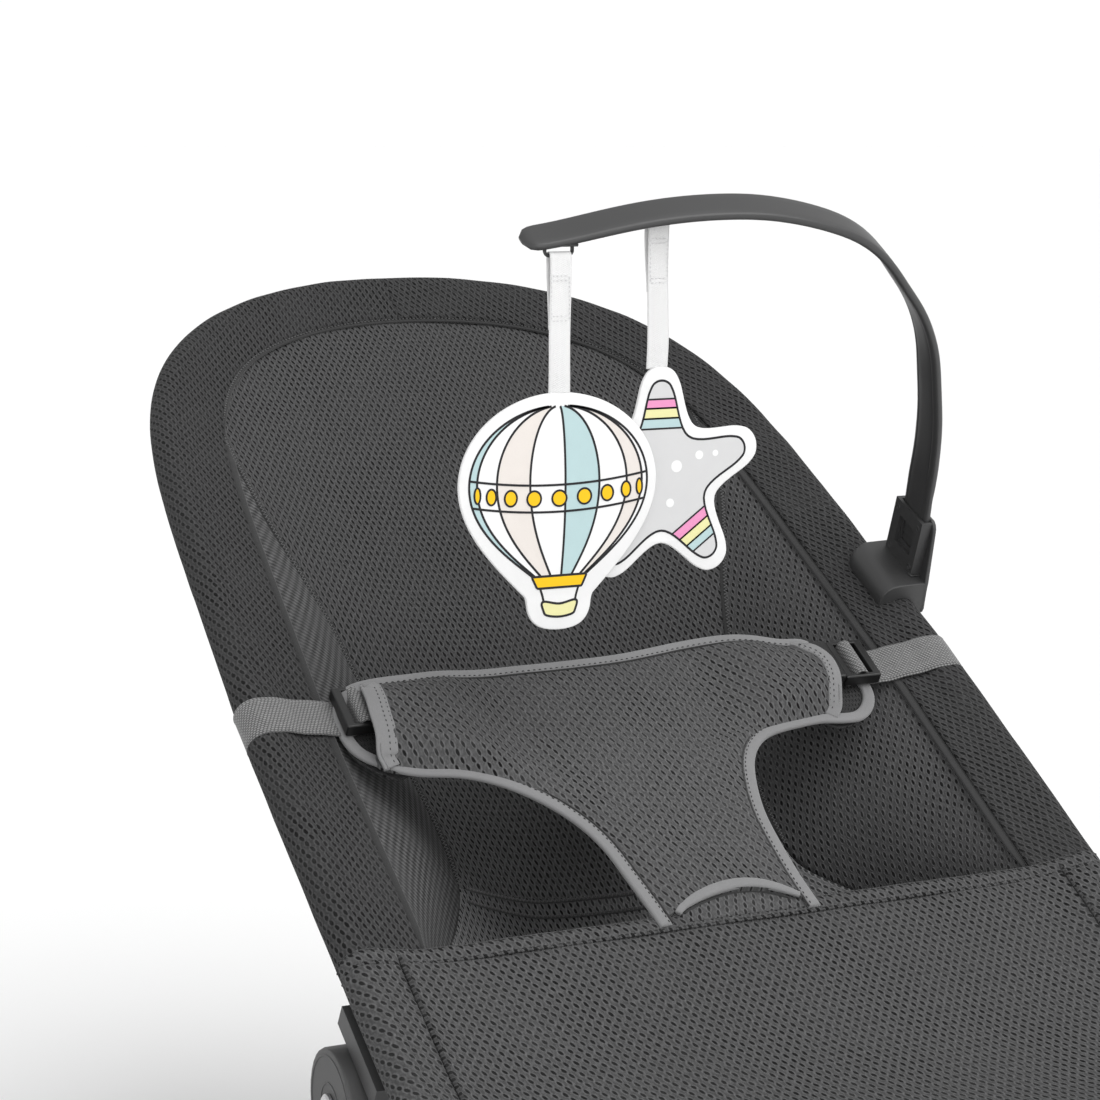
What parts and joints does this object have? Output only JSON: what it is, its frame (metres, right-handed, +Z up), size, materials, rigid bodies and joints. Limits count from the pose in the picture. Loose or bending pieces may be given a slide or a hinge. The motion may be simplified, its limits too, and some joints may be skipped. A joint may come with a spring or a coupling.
{
  "type": "baby bouncer",
  "caption": "Reclining baby bouncer: mesh sling seat on a tube frame with springy hairpin legs, a three-point buckled harness and a plug-in toy bar with two hanging toys.",
  "frame": {"origin": "on the floor, in the middle of the bouncer's footprint", "axes": "+Z up, +Y towards the head end, +X to the side that carries the toy bar"},
  "size_m": [0.432, 0.7066, 0.6027],
  "materials": {
    "painted_steel": "fine-textured powder coat on steel tube, semi-matt",
    "bare_steel": "bright zinc-plated steel",
    "border_fabric": "dark grey spacer mesh with elongated holes, matt",
    "back_mesh": "dark grey spacer mesh with elongated holes, matt",
    "front_mesh": "grey open mesh with larger holes, matt",
    "ribbed_fabric": "finely ribbed dark grey knit, matt",
    "harness_mesh": "grey padded mesh with a lighter felt-like bound edge, matt",
    "webbing": "grey woven webbing, matt",
    "grey_plastic": "dark grey moulded plastic, satin",
    "bar_plastic": "dark grey moulded plastic, satin",
    "black_plastic": "black moulded plastic, satin",
    "rubber": "black rubber, matt",
    "ribbon": "white twill tape, stitched",
    "toy_fabric": "white, pale teal and beige sewn fabric with coloured accents",
    "star_fabric": "pale grey plush with a stitched edge"
  },
  "bodies": {
    "base": {"floor_rail": "painted_steel", "leg_spring_left": "painted_steel", "leg_spring_right": "painted_steel", "rail_coupler_left": "black_plastic", "rail_coupler_right": "black_plastic", "front_foot_left": "rubber", "front_foot_right": "rubber", "rear_foot_left": "rubber", "rear_foot_right": "rubber"},
    "legs": {"base_hinge_left": "grey_plastic", "base_hinge_right": "grey_plastic"},
    "seat": {"seat_tube_head": "painted_steel", "seat_tube_foot": "painted_steel", "border_sleeve": "border_fabric", "foot_sleeve": "border_fabric", "front_panel": "front_mesh", "back_panel": "back_mesh", "seat_panel": "back_mesh", "side_gusset_left": "ribbed_fabric", "side_gusset_right": "ribbed_fabric", "harness_top": "harness_mesh", "harness_lining": "harness_mesh", "buckle_socket_left": "grey_plastic", "buckle_socket_right": "grey_plastic", "waist_strap_left": "webbing", "waist_strap_right": "webbing", "seat_hinge_left": "grey_plastic", "seat_hinge_right": "grey_plastic", "pivot_rivet_left": "bare_steel", "pivot_rivet_right": "bare_steel", "bar_clip": "grey_plastic"},
    "release_left": {"release_button_left": "black_plastic", "release_spring_left": "bare_steel"},
    "release_right": {"release_button_right": "black_plastic", "release_spring_right": "bare_steel"},
    "plug_left": {"buckle_plug_left": "grey_plastic"},
    "plug_right": {"buckle_plug_right": "grey_plastic"},
    "prong_upper_left": {"buckle_prong_upper_left": "grey_plastic"},
    "prong_lower_left": {"buckle_prong_lower_left": "grey_plastic"},
    "prong_upper_right": {"buckle_prong_upper_right": "grey_plastic"},
    "prong_lower_right": {"buckle_prong_lower_right": "grey_plastic"},
    "bar": {"toy_bar": "bar_plastic"},
    "balloon": {"ribbon_balloon": "ribbon", "toy_balloon": "toy_fabric"},
    "star": {"ribbon_star": "ribbon", "toy_star": "star_fabric"}
  },
  "joints": [
    {"name": "bounce", "type": "hinge", "parent": "base", "child": "legs", "pos_m": [0, -0.24465, 0.0725], "axis": [1, 0, 0], "range_deg": [-6, 3], "stiffness_Nm_per_rad": 220, "springref_deg": 0.8, "deforming": ["leg_spring_left", "leg_spring_right"]},
    {"name": "recline", "type": "hinge", "parent": "legs", "child": "seat", "pos_m": [0, -0.11716, 0.19815], "axis": [1, 0, 0], "range_deg": [-10, 10]},
    {"name": "release_left_press", "type": "slide", "parent": "legs", "child": "release_left", "axis": [1, 0, 0], "range_m": [0, 0.004], "stiffness_N_per_m": 900, "deforming": ["release_spring_left"]},
    {"name": "release_right_press", "type": "slide", "parent": "legs", "child": "release_right", "axis": [-1, 0, 0], "range_m": [0, 0.004], "stiffness_N_per_m": 900, "deforming": ["release_spring_right"]},
    {"name": "plug_left_pull", "type": "slide", "parent": "seat", "child": "plug_left", "axis": [-1, 0, 0], "range_m": [0, 0.022], "deforming": ["waist_strap_left"]},
    {"name": "plug_right_pull", "type": "slide", "parent": "seat", "child": "plug_right", "axis": [1, 0, 0], "range_m": [0, 0.022], "deforming": ["waist_strap_right"]},
    {"name": "prong_upper_left_squeeze", "type": "slide", "parent": "plug_left", "child": "prong_upper_left", "axis": [0, -0.8598, -0.5107], "range_m": [0, 0.002], "stiffness_N_per_m": 900},
    {"name": "prong_lower_left_squeeze", "type": "slide", "parent": "plug_left", "child": "prong_lower_left", "axis": [0, 0.8598, 0.5107], "range_m": [0, 0.002], "stiffness_N_per_m": 900},
    {"name": "prong_upper_right_squeeze", "type": "slide", "parent": "plug_right", "child": "prong_upper_right", "axis": [0, -0.8598, -0.5107], "range_m": [0, 0.002], "stiffness_N_per_m": 900},
    {"name": "prong_lower_right_squeeze", "type": "slide", "parent": "plug_right", "child": "prong_lower_right", "axis": [0, 0.8598, 0.5107], "range_m": [0, 0.002], "stiffness_N_per_m": 900},
    {"name": "bar_pull", "type": "slide", "parent": "seat", "child": "bar", "axis": [-0.0995, -0.3519, 0.9307], "range_m": [0, 0.035]},
    {"name": "balloon_swing", "type": "hinge", "parent": "bar", "child": "balloon", "pos_m": [-0.0668, -0.04626, 0.5748], "axis": [1, 0, 0], "range_deg": [-30, 0.4], "deforming": ["ribbon_balloon"]},
    {"name": "star_swing", "type": "hinge", "parent": "bar", "child": "star", "pos_m": [-0.0124, -0.04176, 0.5911], "axis": [1, 0, 0], "range_deg": [-0.4, 30], "deforming": ["ribbon_star"]}
  ]
}
